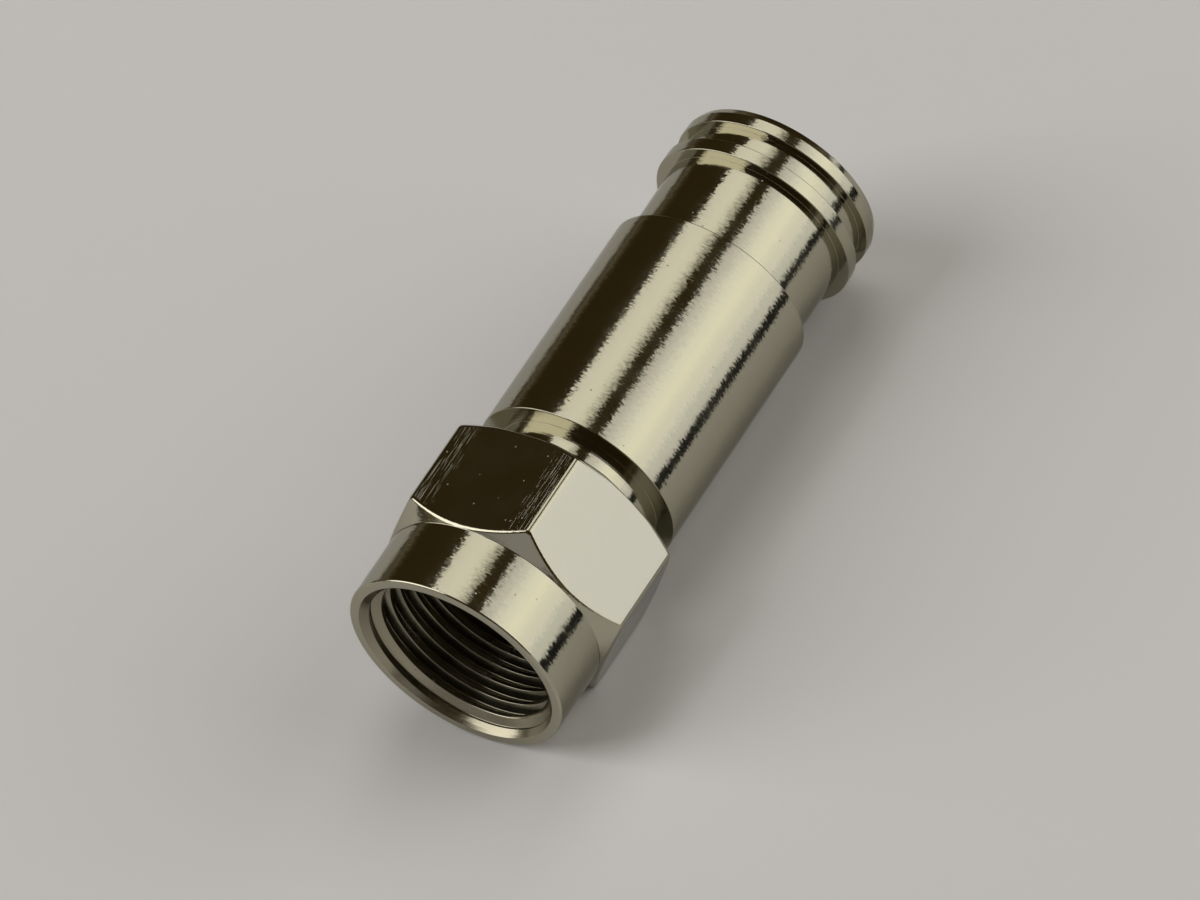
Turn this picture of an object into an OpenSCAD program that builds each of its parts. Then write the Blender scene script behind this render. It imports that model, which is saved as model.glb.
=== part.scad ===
// Compression coaxial plug for 75 ohm cable, with a captive threaded nut.
// Its axis lies along X, from the nut's mouth to the cable end, and a flat of
// the nut's hexagon faces down at Z = 0. Millimetres.
// Places along the axis are counted from the nut's mouth.

/* [Coupling nut] */
// Width across the flats of the hexagon
nut_af = 11.11; // [10.9:0.01:12]
// Length of the nut, from mouth to rear face
nut_length = 9.15; // [8.6:0.05:10]
// Wall of the round collar around the thread
collar_wall = 1.09; // [0.9:0.01:1.09]
// Length of the round collar
collar_length = 3.5; // [2:0.1:5]
// Slope of the front corner chamfer, in degrees from the end face
front_chamfer_angle = 40; // [20:1:50]
// Slope of the rear corner chamfer, in degrees from the end face
rear_chamfer_angle = 30; // [15:1:40]
// Diameter at which the rear corner chamfer starts
rear_chamfer_d = 11.2; // [10.4:0.05:11.6]
// Radius along the six ridges of the hexagon
ridge_r = 0.2; // [0.05:0.05:0.6]
// Minor diameter of the internal thread, 3/8-32
thread_minor_d = 8.72; // [8.4:0.01:8.9]
// Depth of the chamfer at the mouth
mouth_chamfer = 0.62; // [0.3:0.01:0.8]
// Pitch of the thread
thread_pitch = 0.79375; // [0.75:0.00625:0.85]
// Height of the thread, from its crests to its roots
thread_height = 0.4; // [0.3:0.01:0.42]
// Place of the first crest behind the mouth
first_crest = 0.92; // [0.8:0.01:1.2]
// Depth of the threaded bore behind the mouth
thread_depth = 6.5; // [5:0.1:6.5]
// Depth of the relief groove behind the thread
relief_depth = 0.44; // [0.3:0.01:0.6]
// Length of the rear lip that traps the post
lip_length = 1.55; // [1.3:0.05:2]

/* [Post] */
// Thickness of the post's front flange
post_flange_t = 0.9; // [0.6:0.05:1]
// Bore for the cable's dielectric
post_bore_d = 4.8; // [4.6:0.05:5]
// Wall of the thin tube that goes under the cable's braid
tube_wall = 0.3; // [0.2:0.05:0.4]
// Height of the pressed shank above the thin tube
shank_step = 0.25; // [0.15:0.05:0.35]
// Length of the thin tube with its barb
tube_length = 6.2; // [5:0.1:8]
// Height of the barb above the thin tube
barb_height = 0.4; // [0.2:0.05:0.5]
// Length of the barb's slope
barb_length = 1.6; // [1:0.1:2.5]

/* [Body] */
// Wall of the neck that the nut turns on
neck_wall = 1.0; // [0.9:0.05:1.05]
// Length of bare neck between the nut and the shoulder
neck_gap = 1.77; // [0.8:0.01:3]
// Wall of the body around the sleeve
body_wall = 0.485; // [0.4:0.005:0.8]
// Length of the body, from shoulder to rear edge
body_length = 11.93; // [11:0.01:14]
// Radius in the corner between the neck and the shoulder
shoulder_root = 0.36; // [0.1:0.02:0.6]
// Solid length behind the shoulder that holds the post
web_length = 1.48; // [1.2:0.02:3]

/* [Compression sleeve] */
// Bore for the cable's jacket
cable_bore_d = 7.2; // [7:0.05:7.4]
// Wall of the sleeve
sleeve_wall = 0.875; // [0.8:0.005:1]
// Travel of the sleeve into the body
stroke = 4.0; // [2:0.1:5]
// Height of the front ring above the sleeve
ring_height = 0.555; // [0.3:0.005:1]
// Width of the front ring
ring_width = 0.7; // [0.5:0.05:1.5]
// How far the groove's floor lies below the sleeve's surface
groove_drop = 0.1; // [0:0.01:0.2]
// Width of the groove between the front ring and the end flange
groove_width = 1.1; // [0.6:0.05:2]
// Height of the end flange above the sleeve
flange_height = 0.495; // [0.3:0.005:1]
// Width of the end flange
flange_width = 0.9; // [0.7:0.05:2]
// Radius in the corners in front of the ring and the flange
ring_root = 0.2; // [0.05:0.05:0.3]
// Axial depth of the end flange's rear chamfer
flange_chamfer = 0.35; // [0.1:0.05:0.4]
// Depth of the lead-in at the cable end
lead_in = 0.4; // [0.2:0.05:0.6]

/* [Grip ring] */
// Wall of the ring's skirt inside the sleeve
grip_skirt_wall = 0.45; // [0.35:0.01:0.5]
// Length of the ring's skirt
grip_skirt_length = 2.7; // [1.5:0.1:3.5]
// Length of the ring's coned nose
grip_nose_length = 0.8; // [0.5:0.05:0.9]
// Wall of the nose at its tip
grip_tip_wall = 0.2; // [0.15:0.01:0.3]

/* [Seals] */
// Section of the ring that seals the nut to the neck
nut_seal_section = 0.56; // [0.5:0.02:0.6]
// Section of the ring that seals the cable
cable_seal_section = 0.7; // [0.6:0.02:0.74]
// Distance from the sleeve's front end to the cable seal's groove
cable_seal_place = 8.0; // [6:0.1:8.3]

/* [Fits] */
// Radial clearance between the nut's lip and the neck
nut_clearance = 0.06; // [0.02:0.01:0.1]
// Radial clearance between the post's flange and the thread
flange_clearance = 0.1; // [0.05:0.01:0.3]
// Radial clearance between the sleeve and the body
sleeve_clearance = 0.03; // [0.01:0.01:0.05]
// Radial clearance between a fixed ring and its seat
seat_clearance = 0.02; // [0.01:0.01:0.05]
// Axial play of the nut on the post
nut_play = 0.1; // [0.05:0.05:0.3]
// Axial room in front of the grip ring's nose when it is pressed in
nose_room = 0.1; // [0.05:0.05:0.3]
// Gap between the front ring and the body when the sleeve is pressed in
closing_gap = 0.05; // [0:0.05:0.5]
// Broken edges of the turned pieces
edge_break = 0.12; // [0.05:0.01:0.15]

/* [Hidden] */
$fn = 96;

// Radii, from the cable outwards
post_bore_r = post_bore_d / 2;
tube_r = post_bore_r + tube_wall;
barb_r = tube_r + barb_height;
shank_r = tube_r + shank_step;
neck_r = shank_r + neck_wall;
lip_r = neck_r + nut_clearance;
minor_r = thread_minor_d / 2;
collar_r = minor_r + collar_wall;
post_flange_r = minor_r - flange_clearance;
cable_bore_r = cable_bore_d / 2;
sleeve_r = cable_bore_r + sleeve_wall;
sleeve_bore_r = sleeve_r + sleeve_clearance;
body_r = sleeve_bore_r + body_wall;
grip_skirt_r = cable_bore_r + grip_skirt_wall;
grip_tip_r = cable_bore_r + grip_tip_wall;
pocket_r = grip_skirt_r + seat_clearance;

// Places along the axis
lip_front = nut_length - lip_length;
neck_front = lip_front - nut_play;
post_front = neck_front - post_flange_t;
shoulder = nut_length + neck_gap;
cavity = shoulder + web_length;
post_rear = cavity + tube_length;
taper_length = grip_nose_length + nose_room;
sleeve_front = cavity + taper_length + stroke;
body_rear = shoulder + body_length;
ring_front = body_rear + closing_gap + stroke;
groove_front = ring_front + ring_width;
flange_front = groove_front + groove_width;
total_length = flange_front + flange_width;

// Sealing rings and their grooves
seal_room = 2 * seat_clearance;
nut_seal_floor_r = lip_r - seal_room - nut_seal_section;
nut_seal_middle = nut_length - lip_length / 2;
seal_hidden_share = 0.72;
cable_seal_floor_r = cable_bore_r + seal_hidden_share * cable_seal_section;
cable_seal_front = sleeve_front + cable_seal_place;
cable_seal_rear = cable_seal_front + cable_seal_section + 2 * seal_room;

// How far a cut runs past a face
overrun = 1;

// A round corner between a cylinder and the face behind it
function root(r, face, size, steps = 4) = [
    for (step = [0:steps])
        let (a = 90 * step / steps)
            [r + size * (1 - cos(a)), face - size * (1 - sin(a))]
];

// A turned solid along X from points [radius, place along the axis]
module turned(points) {
    translate([-total_length / 2, 0, nut_af / 2])
        rotate([0, 90, 0])
            rotate_extrude()
                polygon(points);
}

// Hexagon with flats at 0, 60 ... degrees and its corners rounded
module hexagon(width, corner_r, steps = 4) {
    corner = (width / 2 - corner_r) / cos(30);
    polygon([
        for (side = [0:5], step = [0:steps])
            let (towards = 60 * side + 30, a = towards - 30 + 60 * step / steps)
                corner * [cos(towards), sin(towards)] + corner_r * [cos(a), sin(a)]
    ]);
}

// A round sealing ring between an inner and an outer radius
module seal_ring(inner_r, section, place) {
    translate([place - total_length / 2, 0, nut_af / 2])
        rotate([0, 90, 0])
            rotate_extrude()
                translate([inner_r + section / 2, 0])
                    circle(d = section, $fn = 32);
}

// The hexagon with its turned collar, both chamfered
module nut_blank() {
    reach_r = nut_af / 2 / cos(30);
    front_slope = (reach_r - collar_r) * tan(front_chamfer_angle);
    rear_slope = (reach_r - rear_chamfer_d / 2) * tan(rear_chamfer_angle);
    turned([
        [0, 0],
        [collar_r - edge_break, 0],
        [collar_r, edge_break],
        [collar_r, collar_length],
        [0, collar_length]
    ]);
    intersection() {
        translate([collar_length - total_length / 2, 0, nut_af / 2])
            rotate([0, 90, 0])
                linear_extrude(nut_length - collar_length)
                    hexagon(nut_af, ridge_r);
        turned([
            [0, collar_length],
            [collar_r, collar_length],
            [reach_r, collar_length + front_slope],
            [reach_r, nut_length - rear_slope],
            [rear_chamfer_d / 2, nut_length],
            [0, nut_length]
        ]);
    }
}

// The thread as a row of round grooves. Each has four edges, given in eighths
// of the pitch behind its crest, with 1 for an edge at the thread's root.
groove_edges = [[1, 0], [3.5, 1], [4.5, 1], [7, 0]];
groove_count = floor((thread_depth - first_crest) / thread_pitch);
function thread_grooves() = [
    for (groove = [0 : groove_count - 1], edge = groove_edges)
        [minor_r + edge[1] * thread_height,
         first_crest + (groove + edge[0] / 8) * thread_pitch]
];

// The threaded socket, its mouth and the hole in the rear lip
module nut_socket() {
    relief_r = minor_r + relief_depth;
    turned(concat([
        [0, -overrun],
        [minor_r + mouth_chamfer, -overrun],
        [minor_r + mouth_chamfer, 0],
        [minor_r, mouth_chamfer]
    ], thread_grooves(), [
        [minor_r, thread_depth],
        [relief_r, thread_depth + relief_depth],
        [relief_r, lip_front],
        [lip_r, lip_front],
        [lip_r, nut_length - edge_break],
        [lip_r + edge_break, nut_length],
        [lip_r + edge_break, nut_length + overrun],
        [0, nut_length + overrun]
    ]));
}

module coupling_nut() {
    color("#b9b6ab")
        difference() {
            nut_blank();
            nut_socket();
        }
}

module post() {
    color("#a9a493")
        turned([
            [post_bore_r + edge_break, post_front],
            [post_flange_r - edge_break, post_front],
            [post_flange_r, post_front + edge_break],
            [post_flange_r, neck_front],
            [shank_r, neck_front],
            [shank_r, cavity - shank_step],
            [tube_r, cavity],
            [tube_r, post_rear - barb_length],
            [barb_r, post_rear - barb_length],
            [post_bore_r + tube_wall / 2, post_rear],
            [post_bore_r, post_rear],
            [post_bore_r, post_front + edge_break]
        ]);
}

module body_shell() {
    groove_half = nut_seal_section / 2 + seal_room;
    color("#bdbaae")
        turned(concat([
            [shank_r, neck_front],
            [neck_r - edge_break, neck_front],
            [neck_r, neck_front + edge_break],
            [neck_r, nut_seal_middle - groove_half],
            [nut_seal_floor_r, nut_seal_middle - groove_half],
            [nut_seal_floor_r, nut_seal_middle + groove_half],
            [neck_r, nut_seal_middle + groove_half]
        ], root(neck_r, shoulder, shoulder_root), [
            [body_r - edge_break, shoulder],
            [body_r, shoulder + edge_break],
            [body_r, body_rear - edge_break],
            [body_r - edge_break, body_rear],
            [sleeve_bore_r + edge_break, body_rear],
            [sleeve_bore_r, body_rear - edge_break],
            [sleeve_bore_r, cavity + taper_length],
            [grip_tip_r + sleeve_clearance, cavity],
            [shank_r, cavity]
        ]));
}

module compression_sleeve() {
    ring_r = sleeve_r + ring_height;
    groove_r = sleeve_r - groove_drop;
    flange_r = sleeve_r + flange_height;
    pocket_rear = sleeve_front + grip_skirt_length + seat_clearance;
    rim_edge = edge_break / 3;
    flange_bevel = 0.7 * flange_chamfer;
    color("#bcb8aa")
        turned(concat([
            [pocket_r, sleeve_front],
            [sleeve_r - edge_break, sleeve_front],
            [sleeve_r, sleeve_front + edge_break]
        ], root(sleeve_r, ring_front, ring_root), [
            [ring_r - rim_edge, ring_front],
            [ring_r, ring_front + rim_edge],
            [ring_r, groove_front - rim_edge],
            [ring_r - rim_edge, groove_front],
            [groove_r, groove_front]
        ], root(groove_r, flange_front, ring_root), [
            [flange_r - rim_edge, flange_front],
            [flange_r, flange_front + rim_edge],
            [flange_r, total_length - flange_chamfer],
            [flange_r - flange_bevel, total_length],
            [cable_bore_r + lead_in, total_length],
            [cable_bore_r, total_length - lead_in],
            [cable_bore_r, cable_seal_rear],
            [cable_seal_floor_r, cable_seal_rear],
            [cable_seal_floor_r, cable_seal_front],
            [cable_bore_r, cable_seal_front],
            [cable_bore_r, pocket_rear],
            [pocket_r, pocket_rear]
        ]));
}

module grip_ring() {
    nose_r = sleeve_r - edge_break - seat_clearance;
    color("#eeece4")
        turned([
            [cable_bore_r, sleeve_front - grip_nose_length],
            [grip_tip_r, sleeve_front - grip_nose_length],
            [nose_r, sleeve_front - edge_break],
            [nose_r, sleeve_front],
            [grip_skirt_r, sleeve_front],
            [grip_skirt_r, sleeve_front + grip_skirt_length],
            [cable_bore_r, sleeve_front + grip_skirt_length]
        ]);
}

module nut_seal() {
    color("#1d1d1c")
        seal_ring(nut_seal_floor_r + seat_clearance / 2, nut_seal_section, nut_seal_middle);
}

module cable_seal() {
    inner_r = cable_seal_floor_r - seat_clearance - cable_seal_section;
    middle = (cable_seal_front + cable_seal_rear) / 2;
    color("#1d1d1c")
        seal_ring(inner_r, cable_seal_section, middle);
}

coupling_nut();
post();
body_shell();
compression_sleeve();
grip_ring();
nut_seal();
cable_seal();
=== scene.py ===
from math import acos, atan, cos, degrees, pi, radians, sin, sqrt, tan
import bmesh
import bpy
from mathutils import Matrix, Quaternion, Vector


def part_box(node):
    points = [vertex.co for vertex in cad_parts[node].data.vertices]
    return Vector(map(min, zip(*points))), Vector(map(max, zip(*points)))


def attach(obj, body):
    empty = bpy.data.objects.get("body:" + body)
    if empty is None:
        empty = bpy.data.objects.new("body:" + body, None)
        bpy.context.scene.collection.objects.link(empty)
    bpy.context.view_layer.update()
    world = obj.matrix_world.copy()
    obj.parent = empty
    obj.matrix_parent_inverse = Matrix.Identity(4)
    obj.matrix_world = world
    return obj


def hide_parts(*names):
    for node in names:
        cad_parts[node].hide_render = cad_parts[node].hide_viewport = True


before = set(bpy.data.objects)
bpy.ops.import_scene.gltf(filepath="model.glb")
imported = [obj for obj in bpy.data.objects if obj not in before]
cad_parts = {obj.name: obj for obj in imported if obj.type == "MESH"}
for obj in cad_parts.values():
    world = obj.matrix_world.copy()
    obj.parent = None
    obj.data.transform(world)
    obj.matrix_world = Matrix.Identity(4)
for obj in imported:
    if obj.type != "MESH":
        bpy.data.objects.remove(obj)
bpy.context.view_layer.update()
print("frame loaded")

mm = 0.001
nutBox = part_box("coupling_nut")
mouthX = nutBox[0].x                                  # the plug's axis starts at the nut's mouth
axisZ = (nutBox[0].z + nutBox[1].z) / 2


def reach(node):
    # first place, last place and outer radius of a turned node, in mm from the mouth
    low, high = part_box(node)
    return (low.x - mouthX) / mm, (high.x - mouthX) / mm, (high.y - low.y) / 2 / mm


# ---- shapes ----

def rounded(corners, steps=4):
    # corners are (radius, place, fillet); each fillet becomes an arc
    points = []
    last = len(corners) - 1
    for i, (r, x, fillet) in enumerate(corners):
        here = Vector((r, x))
        if fillet == 0 or i in (0, last):
            points.append(here)
            continue
        back = (Vector(corners[i - 1][:2]) - here).normalized()
        ahead = (Vector(corners[i + 1][:2]) - here).normalized()
        half = acos(max(-1, min(1, back.dot(ahead)))) / 2
        start = here + back * fillet / tan(half)
        middle = here + (back + ahead).normalized() * fillet / sin(half)
        arm = start - middle
        turn = pi - 2 * half
        if back.cross(ahead) > 0:
            turn = -turn
        for step in range(steps + 1):
            a = turn * step / steps
            spun = Vector((arm.x * cos(a) - arm.y * sin(a), arm.x * sin(a) + arm.y * cos(a)))
            points.append(middle + spun)
    return points


def onAxis(r, x, angle):
    # angle 0 points up and grows from +Z towards -Y, as a right-hand screw along +X turns
    return Vector((mouthX + x * mm, -r * mm * sin(angle), axisZ + r * mm * cos(angle)))


def finishMesh(name, verts, faces, materials):
    mesh = bpy.data.meshes.new(name)
    mesh.from_pydata(verts, [], faces)
    made = bmesh.new()
    made.from_mesh(mesh)
    bmesh.ops.remove_doubles(made, verts=made.verts, dist=1e-4 * mm)
    bmesh.ops.recalc_face_normals(made, faces=made.faces)
    made.to_mesh(mesh)
    made.free()
    pulls = [Vector() for vert in mesh.vertices]
    for face in mesh.polygons:
        face.use_smooth = True
        for i in face.vertices:
            pulls[i] += face.normal * (face.area / mm ** 2) ** 2     # the larger face rules, so flats stay flat
    mesh.normals_split_custom_set_from_vertices([pull.normalized() for pull in pulls])
    piece = bpy.data.objects.new(name, mesh)
    bpy.context.scene.collection.objects.link(piece)
    for material in materials:
        mesh.materials.append(material)
    return piece


def turn(name, corners, material, steps=4, around=240):
    # a closed section turned about the axis
    section = rounded(corners + corners[:1], steps)[:-1]
    verts = [onAxis(p.x, p.y, 2 * pi * i / around) for i in range(around) for p in section]
    rows = len(section)
    faces = []
    for i in range(around):
        j = (i + 1) % around
        for k in range(rows):
            m = (k + 1) % rows
            faces.append((i * rows + k, i * rows + m, j * rows + m, j * rows + k))
    return finishMesh(name, verts, faces, [material])


# ---- materials ----

def colour(hexCode):
    # sRGB hex to linear
    parts = [int(hexCode[i:i + 2], 16) / 255 for i in (0, 2, 4)]
    return [c / 12.92 if c <= 0.04045 else ((c + 0.055) / 1.055) ** 2.4 for c in parts] + [1]


def addNode(tree, kind, settings={}, links={}):
    node = tree.nodes.new(kind)
    for key, value in settings.items():
        if isinstance(key, str) and hasattr(node, key):
            setattr(node, key, value)
        else:
            node.inputs[key].default_value = value
    for key, source in links.items():
        tree.links.new(source, node.inputs[key])
    return node


def startMaterial(name):
    material = bpy.data.materials.new(name)
    material.use_nodes = True
    tree = material.node_tree
    tree.nodes.clear()
    place = addNode(tree, "ShaderNodeTexCoord")
    inMm = addNode(tree, "ShaderNodeMapping",
                   {"Location": (0, 0, -axisZ / mm), "Scale": (1 / mm, 1 / mm, 1 / mm)},
                   {"Vector": place.outputs["Object"]})    # millimetres from the plug's axis
    return material, tree, inMm.outputs["Vector"]


def endMaterial(tree, settings, links):
    shader = addNode(tree, "ShaderNodeBsdfPrincipled", settings, links)
    addNode(tree, "ShaderNodeOutputMaterial", {}, {"Surface": shader.outputs[0]})


plate = {
    "colour": "b1ad9a",
    "edgeTint": "dadada",    # nickel darkens a little where the eye grazes it
    "rough": (0.09, 0.14),
    "markMm": 0.2,           # waver of the turning tool's feed marks, drawn coarser than the feed to show
    "markHeight": 0.003,
    "markLean": 1.7,         # marks for each mm of radius on a turned face, against each mm along the axis
    "frayMm": (0.08, 0.24),  # short ragged scratches, along the axis and round it
    "frayTilt": 0.055,       # how far they tip the surface, in radians
    "waveMm": 1.2,           # slow waviness that the plating keeps
    "waveHeight": 0.006,
    "pitEveryMm": 0.5,
    "pitShare": 0.3,
    "pitMm": 0.05,
    "pitDepth": 0.01,
}


def platePits(tree, place, look, below, strength={}):
    # sparse specks where dust lay under the plating
    cells = addNode(tree, "ShaderNodeTexVoronoi", {"Scale": 1 / look["pitEveryMm"]}, {"Vector": place})
    chance = addNode(tree, "ShaderNodeSeparateColor", {}, {0: cells.outputs["Color"]})
    pick = addNode(tree, "ShaderNodeMath", {"operation": "GREATER_THAN", 1: 1 - look["pitShare"]},
                   {0: chance.outputs[0]})
    pit = addNode(tree, "ShaderNodeMapRange",
                  {"interpolation_type": "SMOOTHSTEP", "From Min": 0,
                   "From Max": look["pitMm"] / look["pitEveryMm"], "To Min": 1, "To Max": 0},
                  {"Value": cells.outputs["Distance"]})
    pits = addNode(tree, "ShaderNodeMath", {"operation": "MULTIPLY"}, {0: pit.outputs[0], 1: pick.outputs[0]})
    return addNode(tree, "ShaderNodeBump", {"Strength": 1, "Distance": look["pitDepth"] * mm},
                   dict(strength, Height=pits.outputs[0], Normal=below))


def plateShader(tree, place, look, normal):
    smudge = addNode(tree, "ShaderNodeTexNoise", {"Scale": 0.5, "Detail": 4}, {"Vector": place})
    low, high = look["rough"]
    rough = addNode(tree, "ShaderNodeMapRange",
                    {"From Min": 0.35, "From Max": 0.65, "To Min": low, "To Max": high},
                    {"Value": smudge.outputs[0]})
    endMaterial(tree, {"Base Color": colour(look["colour"]), "Metallic": 1,
                       "Specular Tint": colour(look["edgeTint"])},
                {"Roughness": rough.outputs[0], "Normal": normal})


def turnedPlate(name, look):
    # nickel-plated turned brass: a warm grey mirror whose reflections fray along the tool marks
    material, tree, place = startMaterial(name)
    across = addNode(tree, "ShaderNodeVectorMath", {"operation": "MULTIPLY", 1: (0, 1, 1)}, {0: place})
    radius = addNode(tree, "ShaderNodeVectorMath", {"operation": "LENGTH"}, {0: across.outputs[0]})
    parts = addNode(tree, "ShaderNodeSeparateXYZ", {}, {0: place})
    feed = addNode(tree, "ShaderNodeMath", {"operation": "MULTIPLY_ADD", 1: look["markLean"]},
                   {0: radius.outputs["Value"], 2: parts.outputs["X"]})
    marks = addNode(tree, "ShaderNodeTexNoise",
                    {"noise_dimensions": "1D", "Scale": 1 / look["markMm"], "Detail": 3, "Roughness": 0.65},
                    {"W": feed.outputs[0]})
    along, wide = look["frayMm"]
    stretched = addNode(tree, "ShaderNodeVectorMath",
                        {"operation": "MULTIPLY", 1: (1 / along, 1 / wide, 1 / wide)}, {0: place})
    frays = addNode(tree, "ShaderNodeTexNoise", {"Scale": 1, "Detail": 3, "Roughness": 0.6},
                    {"Vector": stretched.outputs[0]})
    tilt = addNode(tree, "ShaderNodeMapRange",
                   {"From Min": 0.2, "From Max": 0.8, "To Min": -look["frayTilt"], "To Max": look["frayTilt"]},
                   {"Value": frays.outputs[0]})
    facing = addNode(tree, "ShaderNodeNewGeometry")
    roundAxis = addNode(tree, "ShaderNodeVectorMath", {"operation": "CROSS_PRODUCT", 0: (1, 0, 0)},
                        {1: facing.outputs["Normal"]})
    sideways = addNode(tree, "ShaderNodeVectorMath", {"operation": "SCALE"},
                       {0: roundAxis.outputs[0], "Scale": tilt.outputs[0]})
    frayed = addNode(tree, "ShaderNodeVectorMath", {"operation": "ADD"},
                     {0: facing.outputs["Normal"], 1: sideways.outputs[0]})
    even = addNode(tree, "ShaderNodeVectorMath", {"operation": "NORMALIZE"}, {0: frayed.outputs[0]})
    drift = addNode(tree, "ShaderNodeTexNoise", {"Scale": 1 / look["waveMm"], "Detail": 2}, {"Vector": place})
    wave = addNode(tree, "ShaderNodeBump", {"Strength": 1, "Distance": look["waveHeight"] * mm},
                   {"Height": drift.outputs[0], "Normal": even.outputs[0]})
    turned = addNode(tree, "ShaderNodeBump", {"Strength": 1, "Distance": look["markHeight"] * mm},
                     {"Height": marks.outputs[0], "Normal": wave.outputs[0]})
    pitted = platePits(tree, place, look, turned.outputs[0])
    plateShader(tree, place, look, pitted.outputs[0])
    return material


flat = dict(plate, colour="b2afa3", rough=(0.08, 0.12), pitEveryMm=0.32, pitShare=0.22, pitDepth=0.02,
            waveMm=2.5, waveHeight=0.004, scratchMm=(1.6, 0.04), scratchHeight=0.0035,
            ridgeMm=(5.75, 6.1),      # distance from the axis over which the scratches come in
            topMm=(5.35, 5.5))        # height above the axis that only the top flat reaches


def drawnPlate(name, look):
    # the flats keep the drawn bar's face: smooth, the top one scuffed lengthwise near its ridges
    material, tree, place = startMaterial(name)
    along, wide = look["scratchMm"]
    stretched = addNode(tree, "ShaderNodeVectorMath",
                        {"operation": "MULTIPLY", 1: (1 / along, 1 / wide, 1 / wide)}, {0: place})
    lines = addNode(tree, "ShaderNodeTexNoise", {"Scale": 1, "Detail": 2}, {"Vector": stretched.outputs[0]})
    across = addNode(tree, "ShaderNodeVectorMath", {"operation": "MULTIPLY", 1: (0, 1, 1)}, {0: place})
    radius = addNode(tree, "ShaderNodeVectorMath", {"operation": "LENGTH"}, {0: across.outputs[0]})
    nearRidge = addNode(tree, "ShaderNodeMapRange",
                        {"interpolation_type": "SMOOTHSTEP", "From Min": look["ridgeMm"][0],
                         "From Max": look["ridgeMm"][1], "To Min": 0.05},
                        {"Value": radius.outputs["Value"]})
    sparse = addNode(tree, "ShaderNodeMapRange", {"From Min": 0.55, "From Max": 0.8},
                     {"Value": lines.outputs[0]})
    parts = addNode(tree, "ShaderNodeSeparateXYZ", {}, {0: place})
    scuffed = addNode(tree, "ShaderNodeMapRange",
                      {"interpolation_type": "SMOOTHSTEP", "From Min": look["topMm"][0],
                       "From Max": look["topMm"][1], "To Min": 0.06},
                      {"Value": parts.outputs["Z"]})
    worn = addNode(tree, "ShaderNodeMath", {"operation": "MULTIPLY"},
                   {0: scuffed.outputs[0], 1: nearRidge.outputs[0]})
    height = addNode(tree, "ShaderNodeMath", {"operation": "MULTIPLY"},
                     {0: sparse.outputs[0], 1: worn.outputs[0]})
    drift = addNode(tree, "ShaderNodeTexNoise", {"Scale": 1 / look["waveMm"], "Detail": 2}, {"Vector": place})
    wave = addNode(tree, "ShaderNodeBump", {"Strength": 1, "Distance": look["waveHeight"] * mm},
                   {"Height": drift.outputs[0]})
    scratched = addNode(tree, "ShaderNodeBump", {"Strength": 1, "Distance": look["scratchHeight"] * mm},
                        {"Height": height.outputs[0], "Normal": wave.outputs[0]})
    pitted = platePits(tree, place, look, scratched.outputs[0], {"Strength": scuffed.outputs[0]})
    plateShader(tree, place, look, pitted.outputs[0])
    return material


# the tapped thread is duller and browner than the turned faces
tapped = dict(plate, colour="a19c88", rough=(0.2, 0.28), frayTilt=0.03, pitShare=0.1)

nickelTapped = turnedPlate("nickelPlatedTappedBrass", tapped)
nickelTurned = turnedPlate("nickelPlatedTurnedBrass", plate)
nickelFlat = drawnPlate("nickelPlatedDrawnBar", flat)


def mouldedPlastic(name, code, rough, grainMm, grainHeight):
    material, tree, place = startMaterial(name)
    grain = addNode(tree, "ShaderNodeTexNoise", {"Scale": 1 / grainMm, "Detail": 2}, {"Vector": place})
    bump = addNode(tree, "ShaderNodeBump", {"Strength": 1, "Distance": grainHeight * mm},
                   {"Height": grain.outputs[0]})
    endMaterial(tree, {"Base Color": colour(code), "Roughness": rough}, {"Normal": bump.outputs[0]})
    return material


# moulded acetal is a milky white with a faint grain and a soft shine, moulded rubber near black and dull
acetal = mouldedPlastic("acetalMoulded", "e9e6dc", 0.4, 0.08, 0.002)
rubber = mouldedPlastic("epdmMoulded", "1a1a19", 0.55, 0.05, 0.002)
print("materials made")

# ---- coupling nut ----

nut = {
    "pitch": 25.4 / 32,          # 3/8-32 thread
    "minorR": 4.36,
    "majorR": 4.77,
    "crest": 0.125,              # share of the pitch on each side of a crest's middle
    "root": 0.0625,
    "firstCrest": 0.449,         # place of a crest on top of the nut
    "threadStart": 0.1,
    "threadEnd": 6.5,
    "relief": 0.44,
    "mouthR": 4.98,
    "leadIn": 0.8,               # how fast the mouth narrows: 1 is 45 degrees
    "collarR": 5.45,
    "collarLength": 3.5,
    "frontSlope": 40,
    "rearSlope": 30,
    "rearR": 5.6,
    "ridge": 0.32,
    "lipR": 4.01,
    "lipLength": 1.55,
    "edge": 0.28,
}


halfFlats = axisZ / mm                                # the plug lies on a flat of the hexagon


def hexRadius(fromFlat):
    # distance from the axis to the rounded hexagon, by the angle from the nearest flat's middle
    centre = (halfFlats - nut["ridge"]) / cos(pi / 6)
    if fromFlat < atan(centre * sin(pi / 6) / halfFlats):
        return halfFlats / cos(fromFlat)
    side = pi / 6 - fromFlat
    return centre * cos(side) + sqrt(nut["ridge"] ** 2 - (centre * sin(side)) ** 2)


def nutAngles(between=40):
    ridges = [-1.3, -0.9, -0.45, 0, 0.45, 0.9, 1.3]      # degrees from a ridge, where it is rounded
    angles = []
    for side in range(6):
        corner = 60 * side + 30
        angles += [corner + a for a in ridges]
        angles += [corner + 1.3 + 57.4 * (i + 1) / (between + 1) for i in range(between)]
    return [radians(a) for a in angles]


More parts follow.
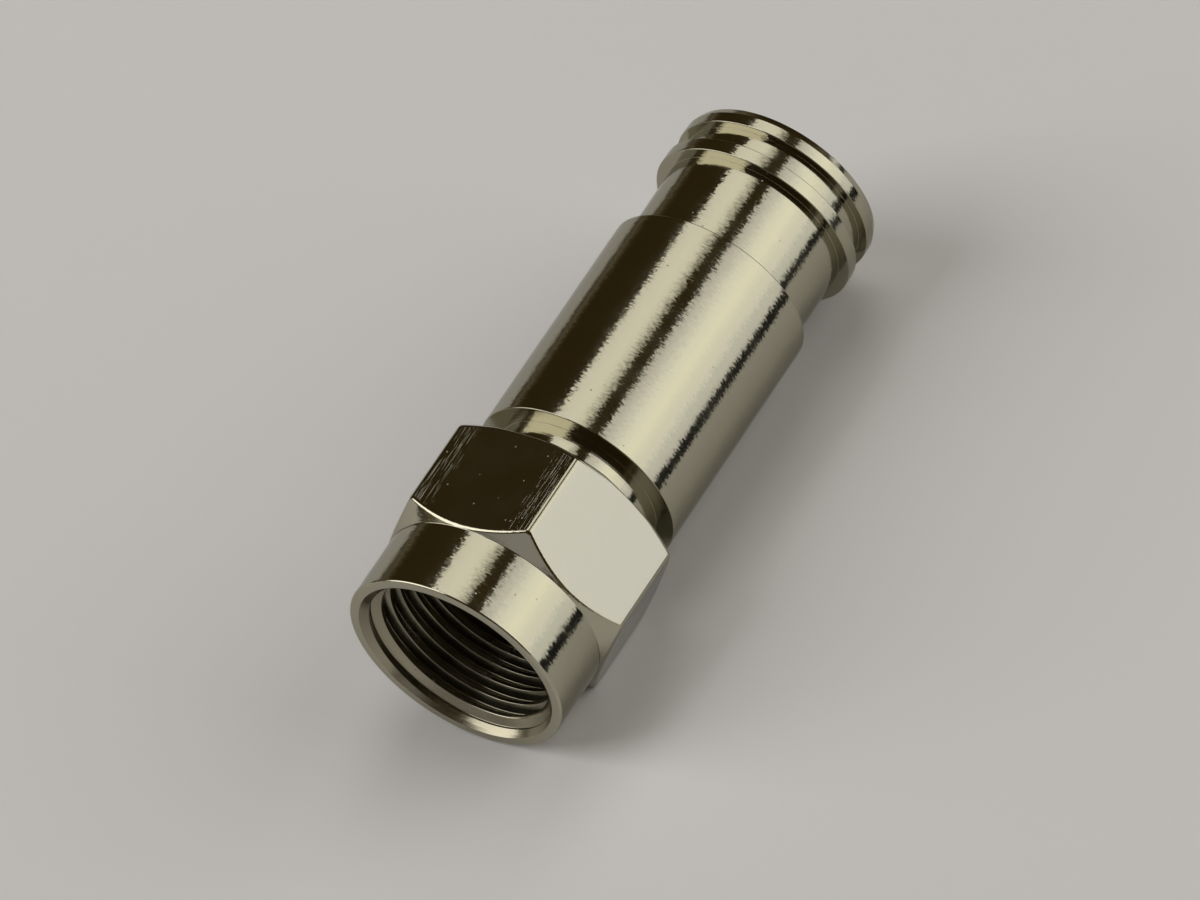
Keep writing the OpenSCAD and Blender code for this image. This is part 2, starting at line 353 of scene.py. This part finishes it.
def nutOutline(angle):
    fromFlat = abs((angle + pi / 6) % (pi / 3) - pi / 6)
    r = hexRadius(fromFlat)
    length = reach("coupling_nut")[1]
    reliefR = nut["minorR"] + nut["relief"]
    front = nut["collarLength"] + (r - nut["collarR"]) * tan(radians(nut["frontSlope"]))
    rear = length - max(0, r - nut["rearR"]) * tan(radians(nut["rearSlope"]))
    lipFront = length - nut["lipLength"]
    return rounded([
        (reliefR, nut["threadEnd"] + nut["relief"], 0),
        (reliefR, lipFront, 0.05),
        (nut["lipR"], lipFront, 0.05),
        (nut["lipR"], length - 0.12, 0.03),
        (nut["lipR"] + 0.12, length, 0.03),
        (min(nut["rearR"], r - 0.16), length, 0.04),
        (r, rear, min(nut["edge"], 0.12 + (r - halfFlats) / 2)),
        (r, front, nut["edge"]),
        (nut["collarR"], nut["collarLength"], 0.05),
        (nut["collarR"], 0, 0.12),
        (nut["mouthR"], 0, 0.05),
        (nut["mouthR"] - nut["threadStart"] * nut["leadIn"], nut["threadStart"], 0),
    ])


def threadSection():
    # one pitch of the thread, from the middle of a crest to the next
    p, low, high = nut["pitch"], nut["minorR"], nut["majorR"]
    return rounded([
        (low, 0, 0),
        (low, nut["crest"] * p, 0.04),
        (high, (0.5 - nut["root"]) * p, 0.05),
        (high, (0.5 + nut["root"]) * p, 0.05),
        (low, (1 - nut["crest"]) * p, 0.04),
        (low, p, 0),
    ])[:-1]


def makeNut():
    angles = nutAngles()
    section = threadSection()
    per = len(section)
    p = nut["pitch"]
    start, end = nut["threadStart"], nut["threadEnd"] + nut["relief"]
    turns = int((end - nut["firstCrest"]) / p + 3)
    outlineRows = len(nutOutline(0))
    verts = []
    for angle in angles:
        outline = nutOutline(angle)
        verts += [onAxis(q.x, q.y, angle) for q in outline]
        for j in range(turns * per):
            wound, point = divmod(j, per)
            x = nut["firstCrest"] + (wound - 2 + angle / (2 * pi)) * p + section[point].y
            x = max(start, min(end, x))
            r = max(section[point].x, nut["mouthR"] - x * nut["leadIn"], nut["minorR"] + x - nut["threadEnd"])
            verts.append(onAxis(r, x, angle))
    rows = outlineRows + turns * per
    faces = []
    for i in range(len(angles)):
        wrap = i == len(angles) - 1
        j = 0 if wrap else i + 1
        shift = per if wrap else 0                    # after a whole turn the thread is one pitch on

        def other(k):
            return k if k < outlineRows else min(k + shift, rows - 1)

        for k in range(rows):
            m = (k + 1) % rows
            faces.append((i * rows + k, i * rows + m,
                          j * rows + (other(m) if m else 0), j * rows + other(k)))
    piece = finishMesh("coupling_nut_threaded", verts, faces, [nickelTurned, nickelFlat, nickelTapped])
    for face in piece.data.polygons:
        n = face.normal
        spread = (degrees(Vector((n.z, n.y)).angle(Vector((1, 0)))) + 30) % 60 - 30 if abs(n.x) < 0.01 else 9
        out = (face.center - Vector((face.center.x, 0, axisZ))).length / mm
        if out > nut["collarR"] + 0.05 and abs(spread) < 0.2:
            face.material_index = 1
        elif out < nut["mouthR"] - 0.04 and face.center.x < mouthX + end * mm:
            face.material_index = 2
    return piece


nutPiece = makeNut()
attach(nutPiece, "nut")
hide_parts("coupling_nut")
print("nut made:", len(nutPiece.data.polygons), "faces")

# ---- body, post and sleeve ----

bodyFront, bodyRear, bodyR = reach("body_shell")
body = {"neckR": 3.95, "bossR": 4.08, "bossFrom": 9.3, "shankR": 2.95, "shoulder": 10.92,
        "root": 0.02, "rim": 0.05, "edge": 0.12, "rearEdge": 0.05, "cavity": 12.4, "cavityR": 3.83,
        "taper": 0.9, "boreR": 4.505, "sealR": 3.41, "sealHalf": 0.32}


def makeBody():
    e = body["edge"]
    sealAt = reach("coupling_nut")[1] - nut["lipLength"] / 2
    return turn("body_shell_turned", [
        (body["shankR"], bodyFront, 0),
        (body["neckR"] - e, bodyFront, 0.03),
        (body["neckR"], bodyFront + e, 0.03),
        (body["neckR"], sealAt - body["sealHalf"], 0.02),
        (body["sealR"], sealAt - body["sealHalf"], 0.02),
        (body["sealR"], sealAt + body["sealHalf"], 0.02),
        (body["neckR"], sealAt + body["sealHalf"], 0.02),
        (body["neckR"], body["bossFrom"], 0.02),
        (body["bossR"], body["bossFrom"] + 0.1, 0.02),
        (body["bossR"], body["shoulder"], body["root"]),
        (bodyR, body["shoulder"], body["rim"]),
        (bodyR, bodyRear - body["rearEdge"], 0.03),
        (bodyR - body["rearEdge"], bodyRear, 0.02),
        (body["boreR"] + e, bodyRear, 0.03),
        (body["boreR"], bodyRear - e, 0.05),
        (body["boreR"], body["cavity"] + body["taper"], 0.05),
        (body["cavityR"], body["cavity"], 0.05),
        (body["shankR"], body["cavity"], 0.02),
    ], nickelTurned)


postFront, postRear, postR = reach("post")
post = {"boreR": 2.4, "tubeR": 2.7, "barbR": 3.1, "barb": 1.6, "step": 0.25, "edge": 0.12}


def makePost():
    e = post["edge"]
    return turn("post_turned", [
        (post["boreR"] + e, postFront, 0.04),
        (postR - e, postFront, 0.04),
        (postR, postFront + e, 0.04),
        (postR, bodyFront, 0.03),
        (body["shankR"], bodyFront, 0.02),
        (body["shankR"], body["cavity"] - post["step"], 0.03),
        (post["tubeR"], body["cavity"], 0.03),
        (post["tubeR"], postRear - post["barb"], 0.02),
        (post["barbR"], postRear - post["barb"], 0.04),
        (post["boreR"] + 0.15, postRear, 0.04),
        (post["boreR"], postRear, 0.04),
        (post["boreR"], postFront + e, 0.05),
    ], nickelTurned)


sleeveFront, sleeveRear, ringR = reach("compression_sleeve")
sleeve = {"r": 4.475, "ringGap": 4.05, "ring": 0.7, "groove": 1.1, "grooveR": 4.53, "flangeR": 4.97,
          "chamfer": 0.35, "chamferSlope": 0.4, "boreR": 3.6, "leadIn": 0.4, "pocketR": 4.07, "pocket": 2.72,
          "sealAt": 8.0, "sealWidth": 0.78, "sealR": 4.104, "root": 0.02, "edge": 0.12, "rim": 0.05}


def makeSleeve():
    e, rim = sleeve["edge"], sleeve["rim"]
    ringFront = bodyRear + sleeve["ringGap"]
    grooveFront = ringFront + sleeve["ring"]
    flangeFront = grooveFront + sleeve["groove"]
    sealFront = sleeveFront + sleeve["sealAt"]
    return turn("compression_sleeve_turned", [
        (sleeve["pocketR"], sleeveFront, 0),
        (sleeve["r"] - e, sleeveFront, 0.04),
        (sleeve["r"], sleeveFront + e, 0.04),
        (sleeve["r"], ringFront, sleeve["root"]),
        (ringR, ringFront, rim),
        (ringR, grooveFront, rim),
        (sleeve["grooveR"], grooveFront, 0.03),
        (sleeve["grooveR"], flangeFront, sleeve["root"]),
        (sleeve["flangeR"], flangeFront, rim),
        (sleeve["flangeR"], sleeveRear - sleeve["chamfer"], 0.08),
        (sleeve["flangeR"] - sleeve["chamferSlope"] * sleeve["chamfer"], sleeveRear, 0.05),
        (sleeve["boreR"] + sleeve["leadIn"], sleeveRear, 0.08),
        (sleeve["boreR"], sleeveRear - sleeve["leadIn"], 0.1),
        (sleeve["boreR"], sealFront + sleeve["sealWidth"], 0.02),
        (sleeve["sealR"], sealFront + sleeve["sealWidth"], 0.02),
        (sleeve["sealR"], sealFront, 0.02),
        (sleeve["boreR"], sealFront, 0.02),
        (sleeve["boreR"], sleeveFront + sleeve["pocket"], 0.02),
        (sleeve["pocketR"], sleeveFront + sleeve["pocket"], 0.02),
    ], nickelTurned)


gripFront, gripRear, gripR = reach("grip_ring")
grip = {"boreR": 3.6, "tipR": 3.8, "nose": 0.8, "skirtR": 4.05, "edge": 0.12}


def makeGrip():
    shoulder = gripFront + grip["nose"]
    return turn("grip_ring_moulded", [
        (grip["boreR"], gripFront, 0.05),
        (grip["tipR"], gripFront, 0.05),
        (gripR, shoulder - grip["edge"], 0.03),
        (gripR, shoulder, 0.02),
        (grip["skirtR"], shoulder, 0.02),
        (grip["skirtR"], gripRear, 0.04),
        (grip["boreR"], gripRear, 0.04),
    ], acetal)


def makeSeal(node):
    # a moulded ring of round section, from the CAD ring's own box
    first, last, outer = reach(node)
    half = (last - first) / 2
    centre = (outer - half, (first + last) / 2)
    around, section = 160, 24
    verts = [onAxis(centre[0] + half * cos(2 * pi * k / section), centre[1] + half * sin(2 * pi * k / section),
                    2 * pi * i / around) for i in range(around) for k in range(section)]
    faces = []
    for i in range(around):
        j = (i + 1) % around
        for k in range(section):
            m = (k + 1) % section
            faces.append((i * section + k, i * section + m, j * section + m, j * section + k))
    return finishMesh(node + "_ring", verts, faces, [rubber])


pieces = [
    (makeBody(), "body", "body_shell", "plated_brass"),
    (makePost(), "body", "post", "plated_brass"),
    (makeSleeve(), "sleeve", "compression_sleeve", "plated_brass"),
    (makeGrip(), "sleeve", "grip_ring", "acetal"),
    (makeSeal("nut_seal"), "body", "nut_seal", "seal_rubber"),
    (makeSeal("cable_seal"), "sleeve", "cable_seal", "seal_rubber"),
]
for piece, bodyName, node, slotName in pieces:
    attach(piece, bodyName)
    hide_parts(node)
print("body, post, sleeve, grip ring and seals made")

# ---- floor ----

floorSize = {"flat": 1.3, "rise": 0.16, "bend": 0.5, "colour": "eeeef0"}


def makeFloor(around=96):
    # a round sheet of matt paper, pale and almost without shine, that sweeps up at its rim
    material, tree, place = startMaterial("matPaperFloor")
    fibre = addNode(tree, "ShaderNodeTexNoise", {"Scale": 0.05, "Detail": 3}, {"Vector": place})
    rough = addNode(tree, "ShaderNodeMapRange", {"To Min": 0.85, "To Max": 0.95}, {"Value": fibre.outputs[0]})
    endMaterial(tree, {"Base Color": colour(floorSize["colour"]), "Specular IOR Level": 0.2},
                {"Roughness": rough.outputs[0]})
    path = [(0.0005, 0), (0.1, 0), (floorSize["flat"], 0)]
    for step in range(1, 13):
        a = pi / 2 * step / 12
        path.append((floorSize["flat"] + floorSize["bend"] * sin(a), floorSize["rise"] * (1 - cos(a))))
    verts = [(r * cos(2 * pi * i / around), r * sin(2 * pi * i / around), z)
             for i in range(around) for r, z in path]
    rows = len(path)
    faces = [(i * rows + k, ((i + 1) % around) * rows + k, ((i + 1) % around) * rows + k + 1, i * rows + k + 1)
             for i in range(around) for k in range(rows - 1)]
    faces.append([i * rows for i in reversed(range(around))])
    mesh = bpy.data.meshes.new("floor")
    mesh.from_pydata(verts, [], faces)
    for face in mesh.polygons:
        face.use_smooth = True
    mesh.materials.append(material)
    floor = bpy.data.objects.new("floor", mesh)
    bpy.context.scene.collection.objects.link(floor)


makeFloor()

# ---- light ----
# Each lamp is a flat softbox beside the plug. turn is its angle round the plug's axis from straight
# up towards -Y, sides are its two long edges by the same angle, and reach is where it starts and ends
# along the plug, in metres. A twist slants it. stops are its colours from the lower edge to the upper.

lamps = {
    "sideBox": {"turn": 58.9, "sides": (27.3, 90.5), "away": 0.5, "reach": (0.02, 0.62), "twist": 3,
                "level": 1.55, "stops": [(0, "d5d7d7"), (0.25, "ecece7"), (0.45, "fffef2"),
                                         (0.62, "f5f6ef"), (0.82, "d8d7d8"), (1, "bfbfbe")]},
    "topBox": {"turn": -6, "sides": (-24.8, 12), "away": 0.5, "reach": (-0.02, 0.6), "twist": 8,
               "level": 1.27, "stops": [(0, "8f8e86"), (0.14, "cecdc5"), (0.3, "fbf9f0"),
                                        (0.5, "fffef6"), (1, "f6f4ef")]},
    "backBox": {"turn": -45, "sides": (-73, -11), "away": 0.5, "reach": (-0.46, -0.1), "twist": 0,
                "level": 2.3, "stops": [(0, "fffdfa"), (1, "fffdfa")]},
    "tableBox": {"turn": 180, "sides": (90.8, 97.8), "away": 0.0045, "reach": (0, 0.6), "twist": 0,
                 "level": 0.55, "stops": [(0, "f7fcff"), (1, "f7fcff")]},
}


def fade(tree, source, colours):
    ramp = addNode(tree, "ShaderNodeValToRGB", {}, {0: source})
    stops = ramp.color_ramp.elements
    for i, (at, code) in enumerate(colours):
        stop = stops[i] if i < 2 else stops.new(at)
        stop.position, stop.color = at, colour(code)
    return ramp.outputs[0]


def makeLamp(name, look):
    turnAt = radians(look["turn"])
    towards = Vector((0, -sin(turnAt), cos(turnAt)))
    lower, upper = (look["away"] * tan(radians(side - look["turn"])) for side in look["sides"])
    start, end = look["reach"]
    lamp = bpy.data.lights.new(name, "AREA")
    lamp.shape = "RECTANGLE"
    lamp.size = end - start
    lamp.size_y = upper - lower
    lamp.energy = look["level"] * pi * lamp.size * lamp.size_y     # level is the brightness seen in a mirror
    lamp.use_nodes = True
    tree = lamp.node_tree
    tree.nodes.clear()
    spot = addNode(tree, "ShaderNodeNewGeometry")
    parts = addNode(tree, "ShaderNodeSeparateXYZ", {}, {0: spot.outputs["Parametric"]})
    tone = fade(tree, parts.outputs["Y"], look["stops"])
    glow = addNode(tree, "ShaderNodeEmission", {"Strength": 1}, {"Color": tone})
    addNode(tree, "ShaderNodeOutputLight", {}, {"Surface": glow.outputs[0]})
    holder = bpy.data.objects.new(name, lamp)
    bpy.context.scene.collection.objects.link(holder)
    side = Vector((1, 0, 0))
    across = side.cross(towards)                                   # grows with the angle round the plug
    middle = Vector((0, 0, axisZ)) + towards * look["away"] \
        + side * (start + end) / 2 + across * (lower + upper) / 2
    facing = Matrix((side, -across, towards)).transposed()
    holder.matrix_world = Matrix.Translation(middle) @ facing.to_4x4() \
        @ Matrix.Rotation(radians(look["twist"]), 4, "Z")
    holder.visible_camera = False


for name, look in lamps.items():
    makeLamp(name, look)

# black card on the table before the plug, seen only in the metal: it draws the dark line under the lights
flag = {"from": 0.0187, "to": 0.0325, "ends": (-0.008, 0.3), "lift": 0.0002, "colour": "0c0b08"}


def makeFlag():
    material, tree, place = startMaterial("blackCard")
    weave = addNode(tree, "ShaderNodeTexNoise", {"Scale": 1}, {"Vector": place})
    rough = addNode(tree, "ShaderNodeMapRange", {"To Min": 0.8, "To Max": 0.9}, {"Value": weave.outputs[0]})
    endMaterial(tree, {"Base Color": colour(flag["colour"]), "Specular IOR Level": 0.1},
                {"Roughness": rough.outputs[0]})
    mesh = bpy.data.meshes.new("flag")
    first, last = flag["ends"]
    near, far = flag["from"], flag["to"]
    corners = [(x, -y, flag["lift"]) for x, y in ((first, far), (last, far), (last, near), (first, near))]
    mesh.from_pydata(corners, [], [(0, 1, 2, 3)])
    mesh.materials.append(material)
    card = bpy.data.objects.new("flag", mesh)
    bpy.context.scene.collection.objects.link(card)
    for kind in ("camera", "diffuse", "transmission", "volume_scatter", "shadow"):
        setattr(card, "visible_" + kind, False)


makeFlag()

# a dim brown room: hazy from the horizon up to hazeTop, and pale low down towards the mouth's side
sky = {"dark": "3a2f19", "haze": "857b62", "hazeTop": 0.26, "pale": "aaa8a8", "front": (-0.6, -0.8),
       "low": (0.5, 0.35)}


def makeSky():
    world = bpy.data.worlds.new("studio")
    bpy.context.scene.world = world
    world.use_nodes = True
    tree = world.node_tree
    tree.nodes.clear()
    place = addNode(tree, "ShaderNodeTexCoord")
    parts = addNode(tree, "ShaderNodeSeparateXYZ", {}, {0: place.outputs["Generated"]})
    front = addNode(tree, "ShaderNodeMapRange",
                    {"interpolation_type": "SMOOTHSTEP", "From Min": sky["front"][0],
                     "From Max": sky["front"][1]},
                    {"Value": parts.outputs["X"]})
    low = addNode(tree, "ShaderNodeMapRange",
                  {"interpolation_type": "SMOOTHSTEP", "From Min": sky["low"][0], "From Max": sky["low"][1]},
                  {"Value": parts.outputs["Z"]})
    both = addNode(tree, "ShaderNodeMath", {"operation": "MULTIPLY"}, {0: front.outputs[0], 1: low.outputs[0]})
    rim = addNode(tree, "ShaderNodeMapRange",
                  {"interpolation_type": "SMOOTHSTEP", "From Min": sky["hazeTop"], "From Max": 0},
                  {"Value": parts.outputs["Z"]})
    dusk = addNode(tree, "ShaderNodeMix", {"data_type": "RGBA", 6: colour(sky["dark"]), 7: colour(sky["haze"])},
                   {"Factor": rim.outputs[0]})
    blend = addNode(tree, "ShaderNodeMix", {"data_type": "RGBA", 7: colour(sky["pale"])},
                    {"Factor": both.outputs[0], 6: dusk.outputs[2]})
    back = addNode(tree, "ShaderNodeBackground", {"Strength": 1}, {"Color": blend.outputs[2]})
    addNode(tree, "ShaderNodeOutputWorld", {}, {"Surface": back.outputs[0]})


makeSky()

# ---- camera ----

cameraView = {"azimuth": -42.3, "elevation": 46.35, "roll": -22.48, "distance": 0.56, "lens": 377.9,
              "aim": (10.174, -3.082, 4.36)}       # aim is in mm from the middle of the nut's mouth


def makeCamera():
    az, el = radians(cameraView["azimuth"]), radians(cameraView["elevation"])
    back = Vector((sin(az) * cos(el), -cos(az) * cos(el), sin(el)))
    aim = Vector((mouthX, 0, axisZ)) + Vector(cameraView["aim"]) * mm
    lens = bpy.data.cameras.new("camera")
    lens.lens = cameraView["lens"]
    lens.sensor_width = 36
    lens.clip_start, lens.clip_end = 0.01, 10
    camera = bpy.data.objects.new("camera", lens)
    bpy.context.scene.collection.objects.link(camera)
    camera.location = aim + back * cameraView["distance"]
    camera.rotation_mode = "QUATERNION"
    camera.rotation_quaternion = (-back).to_track_quat("-Z", "Y") \
        @ Quaternion((0, 0, 1), radians(cameraView["roll"]))
    bpy.context.scene.camera = camera


makeCamera()
bpy.context.scene.view_settings.view_transform = "Standard"
print("stage, light and camera made")
